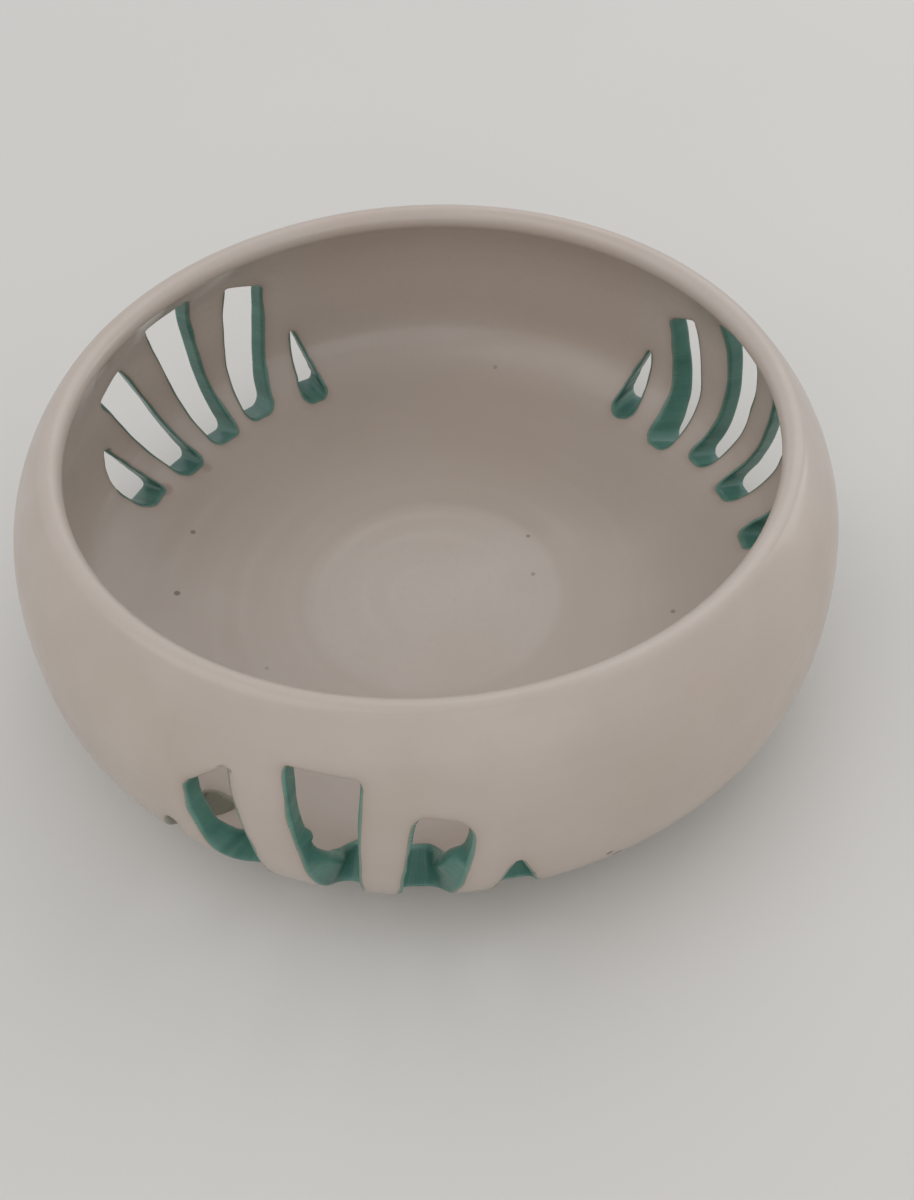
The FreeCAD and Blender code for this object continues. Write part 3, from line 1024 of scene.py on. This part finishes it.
def green_glaze(colours):
    """Glossy green glaze, streaked by the brush, darker where its coat is thick."""
    finish = Finish("green_glaze", colours.green_thin)
    coat, flow = finish.attribute("coat"), finish.attribute("flow", "Vector")
    streak, broad = finish.noise("streak", flow), finish.noise("broad", flow)
    parts = {"thickness": coat, "broad": broad, "streak": streak, "depth": None}
    deep = [finish.spread(*part) for part in parts.items()]
    finish.tint(colours.green_thick, finish.calculated("ADD", *deep))
    finish.tint(colours.green_edge, finish.spread("thin_edge", coat), THIN_EDGE)
    bump = finish.bump(GREEN_RELIEF, (streak, BRUSH_RELIEF), (broad, BRUSH_RELIEF))
    return finish.done({"Roughness": finish.spread("green_gloss", streak), "Normal": bump})


def floor_paint(colour):
    """Matt paint, a little uneven."""
    finish = Finish("floor_paint", colour)
    finish.tint([PAINT_SHADE * part for part in colour], finish.spread("paint"))
    return finish.done({"Roughness": PAINT_ROUGHNESS})


# --- properties


def amount(name, description, default, **others):
    return bpy.props.FloatProperty(
        name=name, description=description, default=default, min=0.0, **others)


def measure(name, description, default):
    """A size in metres, given in millimetres."""
    others = {"subtype": "DISTANCE", "unit": "LENGTH", "precision": 5}
    return amount(name, description, default * MM, **others)


def tone(name, description, *default):
    return bpy.props.FloatVectorProperty(
        name=name, description=description, default=default, subtype="COLOR", min=0.0, max=1.0)


class YARNBOWL_Shape(bpy.types.PropertyGroup):
    """Sizes of the bowl's surface."""

    edge_softness: measure("Edge softness", "Radius of the slots' rounded rims", 1.1)
    knife_waver: measure("Knife waver", "How far the knife strayed from a slot's outline", 0.22)
    glaze_thickness: measure("Green thickness", "Thickness of the green glaze in the slots", 0.5)
    glaze_lap: measure("Green lap", "How far the green glaze may reach over a slot's rim", 0.8)
    head_bare: measure("Bare head", "How far the green glaze stays back at a slot's head", 2.4)
    brush_length: measure("Brush length", "Length of the brush marks through a slot", 2.0)
    ring_depth: measure("Ring depth", "Depth of the throwing rings", 0.06)
    floor_disc: measure("Floor disc", "Radius of the slightly sunk disc on the floor", 44.0)
    floor_edge: measure("Floor edge", "How far from the middle the floor turns up", 92.0)
    lip_dip: measure("Lip dip", "How uneven the height of the lip is", 0.6)


class YARNBOWL_Finish(bpy.types.PropertyGroup):
    """Colours of the bowl."""

    glaze_colour: tone("Pale glaze", "Main colour of the pale glaze", 0.445, 0.378, 0.33)
    glaze_shade: tone("Pale glaze, thin", "Where the pale glaze is thin", 0.415, 0.345, 0.29)
    # Painted shade: the inside tone stands in for the dimmer light in the bowl
    glaze_inside_painted_shade: tone("Pale glaze, inside", "Where it lies in the bowl", 0.445, 0.375, 0.32)
    # Paler tone: thick glaze on the floor disc, and also painted light on the upper inner wall
    # and painted reflections on the outer face
    glaze_pale_and_painted_light: tone("Pale glaze, thick", "Where the pale glaze is thick", 0.52, 0.46, 0.41)
    glaze_blush: tone("Pale glaze, blush", "Where the clay warms it", 0.46, 0.365, 0.305)
    green_thick: tone("Green glaze", "Where the green glaze is thick", 0.05, 0.150, 0.118)
    green_thin: tone("Green glaze, thin", "Where the green glaze is thin", 0.10, 0.225, 0.18)
    green_edge: tone("Green edge", "Where the green glaze fades out", 0.255, 0.195, 0.145)
    iron_spot: tone("Iron spots", "Colour of the iron spots", 0.085, 0.05, 0.032)
    iron_stain: tone("Iron stains", "Colour of the brown stains", 0.20, 0.105, 0.065)
    clay: tone("Clay", "Colour of the bare clay on the foot", 0.42, 0.33, 0.24)
    clay_grit: tone("Clay grit", "Colour of the grit in the clay", 0.30, 0.21, 0.14)


class YARNBOWL_Stage(bpy.types.PropertyGroup):
    """Floor and lamps."""

    floor_colour: tone("Floor", "Colour of the floor", 0.62, 0.60, 0.565)
    lamp_power: amount("Lamps", "Strength of the lamps, where 1 is the plain level", 1.0)
    sky_strength: amount("Sky", "Strength of the even light from all round", 0.74)


# --- operators


def finished(piece, material, slot, *nodes):
    """Gives a piece its material, and lets it stand for its nodes."""
    piece.data.materials.append(material)
    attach(piece, "root")
    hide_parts(*nodes)


class YARNBOWL_OT_body(bpy.types.Operator):
    """Throw the bowl, cut its slots and glaze it."""

    bl_idname = "yarn_bowl.body"
    bl_label = "Bowl Body"

    def execute(self, context):
        scene = context.scene
        piece = pot_skin(scene.yarn_bowl_shape).build("stoneware_body")
        finished(piece, pale_glaze(scene.yarn_bowl_finish), "pale_glazed_stoneware", "bowl_body")
        return {"FINISHED"}


class YARNBOWL_OT_linings(bpy.types.Operator):
    """Brush green glaze into every slot."""

    bl_idname = "yarn_bowl.linings"
    bl_label = "Green Linings"

    def execute(self, context):
        scene = context.scene
        material = green_glaze(scene.yarn_bowl_finish)
        for name in SLOT_ROWS:
            piece = lining_skin(name, scene.yarn_bowl_shape).build(f"{name}_green")
            finished(piece, material, "green_glaze", f"{name}_glaze")
        return {"FINISHED"}


class YARNBOWL_OT_stage(bpy.types.Operator):
    """Set up the floor, the lamps and the camera."""

    bl_idname = "yarn_bowl.stage"
    bl_label = "Stage"

    def execute(self, context):
        settings = context.scene.yarn_bowl_stage
        lay_floor(settings)
        hang_lamps(settings)
        place_camera()
        return {"FINISHED"}


# --- stage

FLOOR_HALF_SIDE = 3.0

# Lamps: place, sides in metres and power in watts
LAMPS = {
    "window_light": ((0.7, 1.3, 1.5), (1.6, 1.6), 7.0),
    "room_light": ((-1.2, -0.6, 1.7), (1.8, 1.8), 8.5),
    "front_light": ((0.25, -1.5, 0.75), (1.8, 1.2), 3.6),
    "side_strip": ((1.5, 0.55, 0.30), (0.6, 1.0), 3.0),
}
LAMP_AIM = Vector((0.0, 0.0, 0.04))
SKY_COLOUR = (0.95, 0.97, 1.0, 1.0)

# Camera: lens and sensor in millimetres, place in metres and turn in radians
CAMERA_LENS, CAMERA_SENSOR = 40.08, 36.0
CAMERA_PLACE = (0.0085355, -0.312829, 0.352761)
CAMERA_TURN = (0.73239, 0.02932, -0.03259)


def lay_floor(settings):
    """A plain floor, level with the foot ring."""
    mesh = bpy.data.meshes.new("floor")
    corners = np.array([(-1, -1, 0), (1, -1, 0), (1, 1, 0), (-1, 1, 0)]) * FLOOR_HALF_SIDE
    mesh.from_pydata(corners, [], [(0, 1, 2, 3)])
    mesh.materials.append(floor_paint(settings.floor_colour))
    floor = stand("floor", mesh)


def hang_lamps(settings):
    """Large soft lamps that face the bowl, and an even sky."""
    for name, (place, (width, height), power) in LAMPS.items():
        light = bpy.data.lights.new(name, "AREA")
        light.shape = "RECTANGLE"
        light.size, light.size_y = width, height
        light.energy = power * settings.lamp_power
        lamp = stand(name, light)
        lamp.location = place
        lamp.rotation_euler = (LAMP_AIM - lamp.location).to_track_quat("-Z", "Y").to_euler()
    world = bpy.data.worlds.new("sky")
    world.use_nodes = True
    inputs = world.node_tree.nodes["Background"].inputs
    inputs["Color"].default_value = SKY_COLOUR
    inputs["Strength"].default_value = settings.sky_strength
    bpy.context.scene.world = world


def place_camera():
    """A camera above the front of the bowl, looking down into it."""
    camera = bpy.data.cameras.new("camera")
    camera.lens, camera.sensor_width = CAMERA_LENS, CAMERA_SENSOR
    item = stand("camera", camera)
    item.location, item.rotation_euler = CAMERA_PLACE, CAMERA_TURN
    bpy.context.scene.camera = item
    bpy.context.scene.view_settings.view_transform = "Standard"


class YARNBOWL_PT_panel(bpy.types.Panel):
    """The bowl's settings and steps."""

    bl_label = "Yarn Bowl"
    bl_idname = "YARNBOWL_PT_panel"
    bl_space_type = "VIEW_3D"
    bl_region_type = "UI"
    bl_category = "Yarn Bowl"

    def draw(self, context):
        for name, group in GROUPS.items():
            box = self.layout.box()
            for setting in group.__annotations__:
                box.prop(getattr(context.scene, name), setting)
        for step in STEPS:
            self.layout.operator(step.bl_idname)


GROUPS = {
    "yarn_bowl_shape": YARNBOWL_Shape,
    "yarn_bowl_finish": YARNBOWL_Finish,
    "yarn_bowl_stage": YARNBOWL_Stage,
}
STEPS = (YARNBOWL_OT_body, YARNBOWL_OT_linings, YARNBOWL_OT_stage)
CLASSES = (*GROUPS.values(), *STEPS, YARNBOWL_PT_panel)


def register():
    for item in CLASSES:
        bpy.utils.register_class(item)
    for name, group in GROUPS.items():
        setattr(bpy.types.Scene, name, bpy.props.PointerProperty(type=group))


def unregister():
    for name in GROUPS:
        delattr(bpy.types.Scene, name)
    for item in reversed(CLASSES):
        bpy.utils.unregister_class(item)


def main():
    register()
    bpy.ops.yarn_bowl.body()
    bpy.ops.yarn_bowl.linings()
    bpy.ops.yarn_bowl.stage()


if __name__ == "__main__":
    main()
